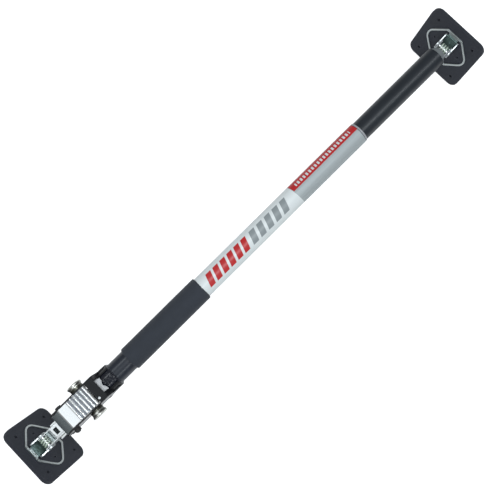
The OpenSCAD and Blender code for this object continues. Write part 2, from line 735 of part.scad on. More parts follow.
// Six-sided outline with rounded points, drawn w wide and len long
function apex_turn(w, len, end) = 90 - atan2(w / 2 - end / 2, len / 2);
function hexagon(w, len, end, r) = let (half = apex_turn(w, len, end), deep = r / cos(half),
  arc = [for (i = [0:apex_steps]) let (a = -half + 2 * half * i / apex_steps)
    [w / 2 - deep + r * cos(a), r * sin(a)]])
  concat([[end / 2, -len / 2]], arc, [[end / 2, len / 2], [-end / 2, len / 2]],
    [for (p = arc) -p], [[-end / 2, -len / 2]]);

module foot_plate(side) {
  foot(side) translate([0, 0, -plate_off]) plate_x(pad_back - plate_t, pad_back) difference() {
    polygon(hexagon(plate_w, plate_len, plate_end_w, apex_r));
    difference() {
      polygon(hexagon(plate_w - 2.4 * rim_w, plate_len - 2 * rim_w, plate_end_w - rim_w / 2,
        apex_r - rim_w));
      square([strip_w, plate_len], center = true);
    }
    for (z = [-1, 1]) translate([0, plate_off + z * bracket_rivet_z])
      circle(bracket_rivet_d / 2 + fit_gap);
  }
}

// The bevelled layer on the pad's grip face: a straight prism each way and a cone at each corner
module bevel_layer() {
  half = pad_w / 2;
  straight = half - pad_round;
  profile = [[-half, 0], [half, 0], [half - pad_chamfer, pad_chamfer], [pad_chamfer - half, pad_chamfer]];
  translate([pad_t - pad_chamfer, 0, 0]) {
    translate([0, 0, -straight]) rotate([0, 0, -90]) linear_extrude(2 * straight) polygon(profile);
    translate([0, -straight, 0]) rotate([-90, -90, 0]) linear_extrude(2 * straight) polygon(profile);
    for (y = [-1, 1], z = [-1, 1]) translate([0, y * straight, z * straight]) rotate([0, 90, 0])
      cylinder(h = pad_chamfer, r1 = pad_round, r2 = pad_round - pad_chamfer);
  }
}

module foot_pad(side) {
  grooves = [for (i = [-groove_half_count:groove_half_count - 1]) (i + 0.5) * groove_pitch];
  foot(side) translate([pad_back, 0, -pad_off]) difference() {
    union() {
      plate_x(0, pad_t - pad_chamfer) rounded_square(pad_w, pad_w, pad_round);
      bevel_layer();
    }
    for (y = [-1, 1], z = [-1, 1]) translate([-cut_over, y * screw_span / 2, z * screw_span / 2])
      rotate([0, 90, 0]) cylinder(h = pad_t + 2 * cut_over, r = screw_d / 2);
    for (y = [-1, 1]) translate([-cut_over, y * window_hole[1], window_hole[0]]) rotate([0, 90, 0])
      cylinder(h = window_hole_t + cut_over, r = window_hole_d / 2);
    for (g = grooves) {
      box([pad_t - groove_t, g - groove_w / 2, -pad_w], [pad_t + cut_over, g + groove_w / 2, pad_w]);
      box([pad_t - groove_t, -pad_w, g - groove_w / 2], [pad_t + cut_over, pad_w, g + groove_w / 2]);
    }
  }
}

module jack_bracket() color([0.82, 0.84, 0.86]) foot_bracket(-1);
module top_bracket() color([0.82, 0.84, 0.86]) foot_bracket(1);
module jack_bracket_rivets() color([0.7, 0.72, 0.74]) foot_rivets(-1);
module top_bracket_rivets() color([0.7, 0.72, 0.74]) foot_rivets(1);
module jack_plate() color([0.62, 0.66, 0.68]) foot_plate(-1);
module top_plate() color([0.62, 0.66, 0.68]) foot_plate(1);
module jack_pad() color([0.16, 0.17, 0.19]) foot_pad(-1);
module top_pad() color([0.16, 0.17, 0.19]) foot_pad(1);

// Inner tube, its twist lock and the fitting that closes its end
module inner_tube() color([0.12, 0.12, 0.14]) on_axis() {
  bar_x(inner_x0, inner_len, inner_r, inner_bore);
}

lock_x1 = inner_x0 - plug_flange - run_gap;
lock_x0 = lock_x1 - sleeve_len;
module lock_plug() color([0.85, 0.85, 0.82]) on_axis() difference() {
  union() {
    bar_x(inner_x0, plug_len, inner_bore - fit_gap);
    bar_x(inner_x0 - plug_flange, plug_flange, inner_r - fit_gap);
    translate([0, 0, journal_off])
      bar_x(lock_x0 - run_gap, sleeve_len + 2 * run_gap, journal_d / 2);
  }
  translate([0, 0, journal_off]) bar_x(lock_x0 - cut_over, 2 * cut_over + run_gap, bolt_d / 2);
}

module lock_sleeve() color([0.9, 0.9, 0.86]) on_axis() difference() {
  bar_x(lock_x0, sleeve_len, inner_r);
  translate([0, 0, journal_off])
    bar_x(lock_x0 - cut_over, sleeve_len + 2 * cut_over, journal_d / 2 + journal_play);
  box([lock_x0 - cut_over, -slot_len / 4, -tube_r], [lock_x1 + cut_over, slot_len / 4, 0]);
}

module lock_screw() color([0.7, 0.72, 0.74]) on_axis() translate([0, 0, journal_off]) {
  bar_x(lock_x0 - run_gap - bolt_head_t, bolt_head_t, journal_d * 0.6);
  bar_x(lock_x0 - run_gap, cut_over, bolt_d / 2 - fit_gap);
}

module top_fitting() color([0.7, 0.72, 0.74]) difference() {
  inner = rack_w - 2 * rack_wall;
  over = cheek_over(ear_r, top_tilt);
  union() {
    on_axis() {
      bar_x(inner_x1 - fitting_plug, fitting_plug, inner_bore - fit_gap, inner_bore - rack_wall);
      translate([inner_x1, 0, 0]) rotate([0, 90, 0]) cylinder(h = cone_len, r1 = inner_r, r2 = cone_r);
    }
    pole_end(1) both_sheets(inner / 2, rack_w / 2) polygon([
      [cone_len / 2 - fitting_len, -ear_r], [cone_len / 2 - fitting_len, ear_r],
      [over, ear_r], [over, -ear_r]]);
  }
  pole_end(1) fork_bore();
}

outer_tube();
mouth_ring();
grip_sleeve();
label_wrap();
jack_body();
weld_beads();
guide_channel();
guide_liners();
guide_strap();
body_rivets();
stop_rivet();
anchor_rivet();
lever_bolt();
lever_nut();
lever_spacer();
lever_spring();
pump_lever();
drive_pawl_pin();
drive_pawl();
drive_pawl_spring();
release_shaft();
release_knobs();
holding_pawl();
release_spring();
rack_tube();
jack_pin();
jack_pin_spring();
jack_bracket();
jack_bracket_rivets();
jack_plate();
jack_pad();
inner_tube();
lock_plug();
lock_sleeve();
lock_screw();
top_fitting();
top_pin();
top_pin_spring();
top_bracket();
top_bracket_rivets();
top_plate();
top_pad();
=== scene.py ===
# Telescopic support pole: ratchet jack, foam grip, printed film and two swivel pads.
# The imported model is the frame. Pieces are dressed over it in the order of assembly.
import json
import math

import bmesh
import bpy
from mathutils import Matrix, Vector, noise

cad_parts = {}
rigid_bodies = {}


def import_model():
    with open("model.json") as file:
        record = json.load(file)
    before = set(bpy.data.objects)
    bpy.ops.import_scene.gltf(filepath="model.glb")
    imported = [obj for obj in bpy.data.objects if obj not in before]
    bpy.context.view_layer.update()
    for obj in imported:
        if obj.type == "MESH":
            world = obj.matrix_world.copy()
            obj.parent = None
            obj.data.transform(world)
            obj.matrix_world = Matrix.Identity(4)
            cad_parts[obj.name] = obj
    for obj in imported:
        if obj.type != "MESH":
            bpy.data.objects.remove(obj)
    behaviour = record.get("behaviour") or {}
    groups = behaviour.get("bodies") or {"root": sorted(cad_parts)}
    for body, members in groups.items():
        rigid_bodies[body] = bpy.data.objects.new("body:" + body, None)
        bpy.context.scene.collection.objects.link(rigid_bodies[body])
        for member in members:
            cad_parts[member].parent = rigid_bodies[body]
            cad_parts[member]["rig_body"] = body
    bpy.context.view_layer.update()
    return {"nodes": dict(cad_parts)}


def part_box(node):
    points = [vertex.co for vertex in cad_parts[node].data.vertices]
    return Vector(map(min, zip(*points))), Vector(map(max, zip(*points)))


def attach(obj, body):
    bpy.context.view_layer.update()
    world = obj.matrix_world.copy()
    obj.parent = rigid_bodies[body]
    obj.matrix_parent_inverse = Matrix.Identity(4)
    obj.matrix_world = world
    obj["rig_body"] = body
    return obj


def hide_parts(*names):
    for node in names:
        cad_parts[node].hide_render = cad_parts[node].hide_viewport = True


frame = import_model()
nodes = frame["nodes"]
scene = bpy.context.scene
MM = 0.001

# Camera: it stands over the pole, leans a little to one side, and is a little nearer the jack.
# The pole crosses the picture from the lower left to the upper right.
tube_low, tube_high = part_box("outer_tube")
axis_z = (tube_low.z + tube_high.z) / 2
lean, yaw, turn = math.radians(5.355), math.radians(3.184), math.radians(44.99)
along = Vector((math.cos(yaw), 0, math.sin(yaw)))
aside = Vector((-math.sin(lean) * math.sin(yaw), math.cos(lean), math.sin(lean) * math.cos(yaw)))
back = along.cross(aside)
up = along * math.sin(turn) + aside * math.cos(turn)
right = along * math.cos(turn) - aside * math.sin(turn)
target = Vector((-10.8 * MM, 0, axis_z)) + 0.17 * MM * aside
camera_away = 1.19
focal_pixels, frame_pixels, film_width = 700, 492, 36
camera = bpy.data.objects.new("camera", bpy.data.cameras.new("camera"))
camera.matrix_world = (Matrix.Translation(target + back * camera_away)
                       @ Matrix((right, up, back)).transposed().to_4x4())
camera.data.sensor_width = film_width
camera.data.lens = film_width * focal_pixels / frame_pixels
scene.collection.objects.link(camera)
scene.camera = camera
scene.view_settings.view_transform = "Standard"


# Outer tube: drawn steel tube with a black powder coat. The jack is welded to one end,
# and the nylon ring in its mouth guides the inner tube.
class Flow:
    """One output socket of a material, so that shader sums are written as sums."""

    def __init__(self, tree, socket):
        self.tree, self.socket = tree, socket

    def node(self, kind, settings, values, out=0):
        """A node of a kind, with its settings, and values or links for its sockets."""
        made = self.tree.nodes.new("ShaderNode" + kind)
        stops = settings.pop("stops", None)
        for name, value in settings.items():
            setattr(made, name, value)
        if stops:
            ramp = made.color_ramp
            while len(ramp.elements) < len(stops):
                ramp.elements.new(0.5)
            for element, (place, colour) in zip(ramp.elements, stops):
                element.position = place
                element.color = (*colour, 1)
        for name, value in values.items():
            if isinstance(value, Flow):
                self.tree.links.new(value.socket, made.inputs[name])
            else:
                made.inputs[name].default_value = value
        return Flow(self.tree, made.outputs[out])

    def sum(self, operation, *values):
        """A Math node of these values, which need not hold this one."""
        return self.node("Math", {"operation": operation}, dict(enumerate(values)))

    def __add__(self, other):
        return self.sum("ADD", self, other)

    def __sub__(self, other):
        return self.sum("SUBTRACT", self, other)

    def __rsub__(self, other):
        return self.sum("SUBTRACT", other, self)

    def __mul__(self, other):
        return self.sum("MULTIPLY", self, other)

    def __truediv__(self, other):
        return self.sum("DIVIDE", self, other)

    def __gt__(self, other):
        return self.sum("GREATER_THAN", self, other)

    __radd__ = __add__
    __rmul__ = __mul__

    def side(self, letter):
        """One coordinate of a place, in millimetres."""
        return self.node("SeparateXYZ", {}, {"Vector": self}, letter) / MM

    def grain(self, scale, detail=3.0, rough=0.55, stretch=(1, 1, 1)):
        """Noise from 0 to 1, with about so many patches in a metre of the piece."""
        place = self.node("Mapping", {}, {"Vector": self, "Scale": stretch})
        return self.node("TexNoise", {}, {"Vector": place, "Scale": scale, "Detail": detail,
                                          "Roughness": rough})

    def blend(self, low, high):
        """A colour between two, by this value. The sockets are the factor, A and B of colours."""
        sockets = {0: self, 6: low if isinstance(low, Flow) else (*low, 1),
                   7: high if isinstance(high, Flow) else (*high, 1)}
        return self.node("Mix", {"data_type": "RGBA"}, sockets, 2)

    def relief(self, strength, distance):
        """The normal of a surface that rises by this value, over so many metres."""
        return self.node("Bump", {}, {"Height": self, "Strength": strength,
                                      "Distance": distance})


def new_finish(name, metallic=0.0, **fixed):
    """A material, its shader's inputs and its place on the piece."""
    material = bpy.data.materials.new(name)
    material.use_nodes = True
    tree = material.node_tree
    shader = tree.nodes["Principled BSDF"]
    shader.inputs["Metallic"].default_value = metallic
    for key, value in fixed.items():
        shader.inputs[key.replace("_", " ")].default_value = value
    place = Flow(tree, tree.nodes.new("ShaderNodeTexCoord").outputs["Object"])
    return material, shader.inputs, place


def feed(inputs, **flows):
    """Links what changes over a surface to its shader."""
    for key, flow in flows.items():
        flow.tree.links.new(flow.socket, inputs[key.replace("_", " ")])


def coat(name, dark, light, rough, spread, bumps, height, **fixed):
    """A sprayed coat: slightly uneven in colour and gloss, with a fine orange peel."""
    material, inputs, place = new_finish(name, **fixed)
    feed(inputs, Base_Color=place.grain(38, 4).blend(dark, light),
         Roughness=place.grain(90, 3) * spread + rough,
         Normal=place.grain(bumps, 2).relief(0.5, height))
    return material


def softened(node, slot, finish, edge=0.4, rings=2):
    """A merged copy of a node, its edges broken by so many millimetres, stands for the node."""
    same_place, same_flat, sharp = 2e-6, math.radians(0.6), math.radians(32)
    source = nodes[node]
    mesh = source.data.copy()
    shape = bmesh.new()
    shape.from_mesh(mesh)
    bmesh.ops.remove_doubles(shape, verts=shape.verts, dist=same_place)
    bmesh.ops.dissolve_limit(shape, angle_limit=same_flat, verts=shape.verts,
                             edges=shape.edges, delimit={"NORMAL"})
    for face in shape.faces:
        face.smooth = True
    shape.to_mesh(mesh)
    shape.free()
    mesh.materials.clear()
    mesh.materials.append(finish)
    mesh.set_sharp_from_angle(angle=sharp)
    piece = bpy.data.objects.new(node + "_dressed", mesh)
    scene.collection.objects.link(piece)
    if edge:
        bevel = piece.modifiers.new("broken_edges", "BEVEL")
        bevel.width = edge * MM
        bevel.segments = rings
        bevel.limit_method = "ANGLE"
        bevel.angle_limit = sharp
    flats = piece.modifiers.new("even_flats", "WEIGHTED_NORMAL")
    flats.keep_sharp = True
    flats.weight = 50
    return carry(piece, source["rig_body"], slot, node)


def carry(piece, body, slot, *replaced):
    """Fixes a finished piece to its body and hides the nodes that it stands for. The slot is not
    used.
    """
    if replaced:
        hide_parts(*replaced)
    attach(piece, body)
    return piece


powder_coat = coat("powder_coat", (0.008, 0.012, 0.02), (0.014, 0.019, 0.031), 0.26, 0.1,
                   2600, 0.00003, Coat_Weight=0.1)
softened("outer_tube", "black_powder_coat", powder_coat, 0.2)
ring_nylon, inputs, place = new_finish("ring_nylon", Roughness=0.45)
feed(inputs, Base_Color=place.grain(200).blend((0.3, 0.31, 0.33), (0.42, 0.43, 0.45)))
softened("mouth_ring", "grey_nylon", ring_nylon, 0.3)


# Grip: a foam sleeve pulled over the tube. It is matte, slightly uneven, and rounded at the ends.
grip_low, grip_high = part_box("grip_sleeve")
grip_r = (grip_high.y - grip_low.y) / 2
grip_len = grip_high.x - grip_low.x
foam_wall, bore_clearance, lip = 2.75 * MM, 0.02 * MM, 1.3 * MM
foam_sag = 0.11 * MM
foam, inputs, place = new_finish("grip_foam", Roughness=0.85, Sheen_Weight=0.1,
                                 Sheen_Roughness=0.5)
feed(inputs, Base_Color=place.grain(55, 4).blend((0.021, 0.026, 0.035), (0.031, 0.037, 0.05)),
     Normal=place.grain(1500, 3).relief(0.35, 0.00015))


def formed(name, shape, finish):
    """A new piece from a mesh in the making, with its faces turned outwards."""
    bmesh.ops.recalc_face_normals(shape, faces=shape.faces)
    mesh = bpy.data.meshes.new(name)
    shape.to_mesh(mesh)
    shape.free()
    mesh.materials.append(finish)
    piece = bpy.data.objects.new(name, mesh)
    scene.collection.objects.link(piece)
    return piece


steps, sides, lip_turn = 90, 96, 15
rounded = [(0, grip_r - foam_wall)]
for degrees in range(0, 91, lip_turn):
    a = math.radians(degrees)
    rounded.append((lip * (1 - math.cos(a)), grip_r - lip * (1 - math.sin(a))))
profile = list(rounded)
profile += [(lip + (grip_len - 2 * lip) * k / steps, grip_r) for k in range(1, steps)]
profile += [(grip_len - x, r) for x, r in reversed(rounded)]
profile += [(x, grip_r - foam_wall - bore_clearance) for x in (grip_len, 0)]
shape = bmesh.new()
rings = []
for x, r in profile:
    ring = []
    for k in range(sides):
        a = 2 * math.pi * k / sides
        seat = Vector((grip_low.x + x, math.cos(a), math.sin(a)))
        wave = noise.noise(Vector((seat.x * 30, seat.y * 1.3, seat.z * 1.3)))
        foam_r = r - foam_sag * (1 - wave) * (r > grip_r - lip)
        ring.append(shape.verts.new((seat.x, foam_r * seat.y, axis_z + foam_r * seat.z)))
    rings.append(ring)
for one, two in zip(rings, rings[1:] + rings[:1]):
    for k in range(sides):
        n = (k + 1) % sides
        face = shape.faces.new((one[k], one[n], two[n], two[k]))
        face.smooth = True
foam_grip = formed("foam_grip", shape, foam)
carry(foam_grip, "pole", "blue_black_foam", "grip_sleeve")


# Film: a printed sleeve round the tube, white with slanted bars, then silver with a red band.
# The prints are bars and blocks only. Their places are in millimetres along the pole and round
# the film.
film_low, film_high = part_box("label_wrap")
film_r = (film_high.y - film_low.y) / 2
white, red, grey = (0.7, 0.745, 0.75), (0.5, 0.022, 0.024), (0.27, 0.3, 0.31)
bar_slant, silver_slant, band_slant, far = 0.34, 0.1, 0.12, 400
film, inputs, place = new_finish("printed_film", Specular_IOR_Level=0.35)
x = place.side("X")
wrap = x.sum("ARCTAN2", place.side("Y"), place.side("Z") - axis_z / MM) * (film_r / MM)


def zone(value, low, high, soft=0.25):
    """1 between two values, with a soft printed edge."""
    return value.node("MapRange", {"clamp": True}, {0: value, 1: low - soft, 2: low + soft}) * \
        value.node("MapRange", {"clamp": True}, {0: value, 1: high + soft, 2: high - soft})


slant = x - wrap * bar_slant
height = zone(wrap, -13, 10.4)
printed = place.grain(60, 3).blend(white, (0.75, 0.785, 0.785))
for start, end, pitch, bar, ink in ((-95.4, -2.5, 16.3, 11.6, red), (6, 90.6, 18.1, 12.2, grey)):
    stripe = slant.sum("FLOORED_MODULO", slant - start, pitch)
    bars = zone(slant, start - 0.2, end) * height * zone(stripe, 0, bar)
    printed = bars.blend(printed, ink)
silver = zone(x + wrap * silver_slant, 112.5, far)
band = zone(x + wrap * band_slant, 113.5, far) * zone(wrap, 4.4, 24)
tick = x.sum("PINGPONG", x - 116, 3.4)
ticks = zone(x, 122, 252) * zone(wrap, 8.4, 15.2) * zone(tick, -5, 1.9, 0.2)
brushed = place.grain(400, 3, 0.6, (0.02, 1, 1)).blend((0.36, 0.4, 0.41), (0.48, 0.52, 0.53))
printed = band.blend(silver.blend(printed, brushed), red)
bright_metal = silver * (1 - band)
feed(inputs, Base_Color=(band * ticks).blend(printed, white), Metallic=bright_metal * 0.3,
     Roughness=bright_metal * 0.24 + 0.36,
     Normal=place.grain(220, 2).relief(0.15, 0.00004))
softened("label_wrap", "label_film", film, 0)


# Jack body: thick pressed sheet under a glossy black coat. Two walls, a bridge and a collar,
# which is welded round the tube.
gloss_coat = coat("gloss_coat", (0.006, 0.0065, 0.008), (0.012, 0.0125, 0.015), 0.2, 0.14, 900,
                  0.00005, Coat_Weight=0.15, Coat_Roughness=0.08, Specular_IOR_Level=0.3)
softened("jack_body", "black_gloss_coat", gloss_coat, 0.9, 3)

# Weld: the collar's opening is closed by a wide, wrinkled run of weld under the same coat,
# with fillets round the tube before and behind it. A lobe of the run reaches into the window.
weld_coat, inputs, place = new_finish("weld_coat", Coat_Weight=0.6, Coat_Roughness=0.08,
                                      Specular_IOR_Level=0.2)
folds = place.grain(420, 5, 0.6)
feed(inputs, Base_Color=folds.blend((0.002, 0.003, 0.006), (0.012, 0.014, 0.026)),
     Roughness=place.grain(300) * 0.2 + 0.16, Normal=folds.relief(0.6, 0.0006))
softened("weld_beads", "black_gloss_coat", weld_coat, 0.3)
tube_r = (tube_high.y - tube_low.y) / 2
collar_len, weld_sink, weld_over = 17 * MM, 0.03 * MM, 0.05 * MM
weld_low = tube_low.x - 1.6 * MM
weld_len = tube_low.x + collar_len + 3.4 * MM - weld_low
half_opening, weld_seat = 12.4, 19.6
half_wrap = math.asin(half_opening / weld_seat)
lobe, lobe_spread, front_wave, front_inset = 4.2 * MM, 0.3, 1.2 * MM, 0.9 * MM
thick, swell = 1 * MM, 3.2
rows, columns = 64, 70


def weld_point(along, around, outer):
    """A point of the run: 0 to 1 along and around it, on its outer or its inner skin.

    The run is lumpy, thins out at its borders, and reaches forward in the middle.
    """
    a = (around * 2 - 1) * half_wrap
    front = front_wave * noise.noise(Vector((a * 7, 0.7, 3)))
    front -= lobe * math.exp(-(a / lobe_spread) ** 2)
    x = weld_low + weld_len * along + (1 - along) * (front + front_inset)
    edge = min(1, 9 * along, 9 * (1 - along)) * min(1, 10 * around, 10 * (1 - around))
    lump = noise.noise(Vector((x * 330 + 5, a * 6.5, 1))) * 0.5
    lump += noise.noise(Vector((x * 700, a * 14, 4))) * 0.28
    r = tube_r + weld_over + (edge * thick * (1 + lump * swell) if outer else -weld_sink)
    return x, r * math.sin(a), axis_z + r * math.cos(a)


shape = bmesh.new()
low_skin, high_skin = ([[shape.verts.new(weld_point(i / rows, k / columns, outer))
                         for k in range(columns + 1)] for i in range(rows + 1)]
                       for outer in (False, True))
for i in range(rows):
    for k in range(columns):
        for grid, turned in ((high_skin, False), (low_skin, True)):
            corners = [grid[i][k], grid[i + 1][k], grid[i + 1][k + 1], grid[i][k + 1]]
            shape.faces.new(corners[::-1] if turned else corners)
border = [(i, 0) for i in range(rows)] + [(rows, k) for k in range(columns)] + \
    [(i, columns) for i in range(rows, 0, -1)] + [(0, k) for k in range(columns, 0, -1)]
for (i, k), (m, n) in zip(border, border[1:] + border[:1]):
    shape.faces.new((low_skin[i][k], low_skin[m][n], high_skin[m][n], high_skin[i][k]))
for face in shape.faces:
    face.smooth = True
weld_run = formed("weld_run", shape, weld_coat)
carry(weld_run, "pole", "black_gloss_coat")


# Guide: a zinc plated channel under the rack with nylon liners, a strap over it under the
# bridge, and black rivets through both walls.
def zinc(name, dark, light, rough, spread, grain=700, lay=(0.05, 1, 1)):
    """Zinc plate: bright, with faint cloudy patches and fine rolling lines."""
    material, inputs, place = new_finish(name, metallic=1.0)
    cloud = place.grain(45, 4, 0.6)
    lines = place.grain(grain, 3, 0.6, lay)
    feed(inputs, Base_Color=(cloud * 0.6 + lines * 0.4).blend(dark, light),
         Roughness=cloud * spread + rough, Normal=lines.relief(0.2, 0.00001))
    return material


zinc_shade, zinc_light = (0.78, 0.82, 0.83), (0.92, 0.94, 0.94)
bright_zinc = zinc("bright_zinc", zinc_shade, zinc_light, 0.24, 0.1)
softened("guide_channel", "bright_zinc", bright_zinc, 0.35)
pale_zinc, inputs, place = new_finish("pale_zinc", metallic=0.1, Roughness=0.5)
feed(inputs, Base_Color=place.grain(160, 4).blend((0.85, 0.87, 0.9), (1, 1, 1)))
softened("guide_strap", "bright_zinc", pale_zinc, 0.35)
white_nylon, inputs, place = new_finish("white_nylon", Roughness=0.5, Subsurface_Weight=0.1)
feed(inputs, Base_Color=place.grain(150).blend((0.74, 0.72, 0.66), (0.84, 0.82, 0.77)))
nodes["guide_liners"].data.materials[0] = white_nylon
black_oxide = coat("black_oxide", (0.014, 0.014, 0.015), (0.03, 0.03, 0.031), 0.3, 0.2, 1200,
                   0.00003)
for node in ("body_rivets", "stop_rivet"):
    softened(node, "black_fastener", black_oxide, 0.25)
softened("anchor_rivet", "bright_zinc", bright_zinc, 0.3)


# Rack: square zinc plated tube with punched slots. Its forked end carries the jack's pad, and
# its bore behind the fork is darkened with painted shade.
rack_low, rack_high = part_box("rack_tube")
rack_wall, fork_len = 1.9, 20
rack_zinc, inputs, place = new_finish("rack_zinc", metallic=1.0)
cloud = place.grain(45, 4, 0.6)
half_bore = (rack_high.y - rack_low.y) / 2 / MM - rack_wall
# Painted shade darkens the bore behind the fork.
painted_bore_shade = zone(place.side("Y"), -half_bore, half_bore, 0.1) * \
    zone(place.side("Z") - axis_z / MM, -half_bore, half_bore, 0.1) * \
    (place.side("X") > rack_low.x / MM + fork_len)
feed(inputs, Base_Color=painted_bore_shade.blend(cloud.blend(zinc_shade, zinc_light), (0.24, 0.26, 0.27)),
     Roughness=cloud * 0.1 + 0.24)
softened("rack_tube", "bright_zinc", rack_zinc, 0.3)


# Lever: folded zinc plated sheet with pressed ribs, with painted shade on its nose and between
# the ribs. It turns on a black bolt and nut over a turned spacer, and its arms carry the driving
# pawl.
lever_low, lever_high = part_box("pump_lever")
nose_len, rib_pitch, ribs_len = 16.6, 7.1, 27
rib_x = lever_high.x / MM - 9.5
lever_zinc, inputs, place = new_finish("lever_zinc", metallic=1.0)
cloud = place.grain(60, 4, 0.6)
lines = place.grain(900, 3, 0.6, (1, 0.05, 1))
x = place.side("X")
# Painted dark reflection on the nose, and painted shade on the flanks between the ribs.
painted_nose_shade = zone(x, lever_low.x / MM - 5, lever_low.x / MM + nose_len, 0.6)
plate = (cloud * 0.6 + lines * 0.4).blend((0.82, 0.85, 0.86), (0.94, 0.95, 0.95))
crest = x.sum("PINGPONG", x - rib_x, rib_pitch / 2)
painted_rib_shade = zone(crest, 1.9, 9, 0.35) * zone(x, rib_x - ribs_len, rib_x + 5.4)
rib_shaded_plate = painted_rib_shade.blend(plate, (0.24, 0.26, 0.29))
feed(inputs, Base_Color=painted_nose_shade.blend(rib_shaded_plate, (0.4, 0.46, 0.48)), Roughness=cloud * 0.06 + 0.18)
softened("pump_lever", "bright_zinc", lever_zinc, 0.5, 3)
for node in ("lever_bolt", "lever_nut"):
    softened(node, "black_fastener", black_oxide, 0.45, 3)
turned_steel = zinc("turned_steel", (0.56, 0.57, 0.58), (0.74, 0.75, 0.76), 0.22, 0.14, 900,
                    (1, 1, 0.05))
for node in ("lever_spacer", "drive_pawl_pin"):
    softened(node, "turned_steel", turned_steel, 0.2)
pawl_steel = zinc("pawl_steel", (0.3, 0.3, 0.32), (0.42, 0.42, 0.43), 0.34, 0.14)
for node in ("drive_pawl", "holding_pawl"):
    softened(node, "hardened_steel", pawl_steel, 0.3)


# Springs: round wire wound round the bolt, the shaft and the pins. The swivel springs are
# greenish from their plating.
def spring_tree(name):
    """Helix round a shaft across the pole: wire, radius, length, turns and middle."""
    tree = bpy.data.node_groups.new(name, "GeometryNodeTree")
    for label, kind in (("Wire", "Float"), ("Radius", "Float"), ("Length", "Float"),
                        ("Turns", "Float"), ("Middle", "Vector"), ("Finish", "Material")):
        tree.interface.new_socket(label, in_out="INPUT", socket_type="NodeSocket" + kind)
    tree.interface.new_socket("Mesh", in_out="OUTPUT", socket_type="NodeSocketGeometry")
    make, join = tree.nodes.new, tree.links.new
    given, made = make("NodeGroupInput"), make("NodeGroupOutput")
    curl, wire, tube, smooth, lay, solid, painted = (make("GeometryNode" + kind) for kind in (
        "CurveSpiral", "CurvePrimitiveCircle", "CurveToMesh", "SetShadeSmooth", "Transform",
        "RealizeInstances", "SetMaterial"))
    half_wire, half_length = make("ShaderNodeMath"), make("ShaderNodeMath")
    for half in (half_wire, half_length):
        half.operation, half.inputs[1].default_value = "MULTIPLY", 0.5
    shift, start = make("ShaderNodeCombineXYZ"), make("ShaderNodeVectorMath")
    start.operation = "SUBTRACT"
    wire.inputs["Resolution"].default_value = 12
    curl.inputs["Resolution"].default_value = 40
    curl.inputs["Reverse"].default_value = True
    tube.inputs["Fill Caps"].default_value = True
    lay.inputs["Rotation"].default_value = (math.radians(-90), 0, 0)
    for source, sink in (
            (given.outputs["Wire"], half_wire.inputs[0]),
            (half_wire.outputs[0], wire.inputs["Radius"]),
            (given.outputs["Radius"], curl.inputs["Start Radius"]),
            (given.outputs["Radius"], curl.inputs["End Radius"]),
            (given.outputs["Length"], curl.inputs["Height"]),
            (given.outputs["Turns"], curl.inputs["Rotations"]),
            (given.outputs["Length"], half_length.inputs[0]),
            (half_length.outputs[0], shift.inputs["Y"]),
            (given.outputs["Middle"], start.inputs[0]),
            (shift.outputs[0], start.inputs[1]),
            (start.outputs[0], lay.inputs["Translation"]),
            (curl.outputs["Curve"], tube.inputs["Curve"]),
            (wire.outputs["Curve"], tube.inputs["Profile Curve"]),
            (tube.outputs["Mesh"], smooth.inputs["Geometry"]),
            (smooth.outputs["Geometry"], lay.inputs["Geometry"]),
            (lay.outputs["Geometry"], solid.inputs["Geometry"]),
            (solid.outputs["Geometry"], painted.inputs["Geometry"]),
            (given.outputs["Finish"], painted.inputs["Material"]),
            (painted.outputs["Geometry"], made.inputs["Mesh"])):
        join(source, sink)
    return tree


def grown(name, tree, sizes):
    """The plain mesh that a tree makes from its named sizes, in its one finish."""
    seed = bpy.data.objects.new(name, bpy.data.meshes.new(name + "_seed"))
    scene.collection.objects.link(seed)
    modifier = seed.modifiers.new("made", "NODES")
    modifier.node_group = tree
    for item in tree.interface.items_tree:
        if item.in_out == "INPUT" and item.name in sizes:
            modifier[item.identifier] = sizes[item.name]
    bpy.context.view_layer.update()
    result = bpy.data.meshes.new_from_object(
        seed.evaluated_get(bpy.context.evaluated_depsgraph_get()))
    seed.modifiers.clear()
    seed.data = result
    result.name = name
    result.materials.clear()
    result.materials.append(sizes["Finish"])
    return seed


coil_tree = spring_tree("wound_wire")
spring_wire = zinc("spring_wire", (0.4, 0.4, 0.42), (0.55, 0.55, 0.57), 0.3, 0.12)
green_wire, inputs, place = new_finish("green_wire", metallic=0.25, Roughness=0.4)
feed(inputs, Base_Color=place.grain(200).blend((0.62, 0.74, 0.6), (0.8, 0.9, 0.78)))
for node, wire, turns, finish, slot in (
        ("lever_spring", 1.4, 6, spring_wire, "spring_steel"),
        ("drive_pawl_spring", 1.0, 4, spring_wire, "spring_steel"),
        ("release_spring", 1.2, 4, spring_wire, "spring_steel"),
        ("jack_pin_spring", 2.2, 3.5, green_wire, "olive_zinc"),
        ("top_pin_spring", 2.2, 3.5, green_wire, "olive_zinc")):
    low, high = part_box(node)
    wound = grown(node + "_wire", coil_tree, {
        "Wire": wire * MM, "Radius": (high.z - low.z - wire * MM) / 2,
        "Length": high.y - low.y - wire * MM, "Turns": turns,
        "Middle": tuple((low + high) / 2), "Finish": finish})
    carry(wound, nodes[node]["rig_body"], slot, node)


# Release: a turned shaft through both walls, and the holding pawl inside. The knobs on its ends
# are dull nickel, with painted shade near the walls, and ridges pressed round their flanges.
softened("release_shaft", "turned_steel", turned_steel, 0.4)
knob_low, knob_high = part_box("release_knobs")
knob_x, knob_z = (knob_low.x + knob_high.x) / 2, (knob_low.z + knob_high.z) / 2
knob_r = (knob_high.x - knob_low.x) / 2
near_root, far_root = -26, 27.5
nickel, inputs, place = new_finish("dull_nickel", metallic=1.0)
patches = place.grain(330, 4, 0.65)
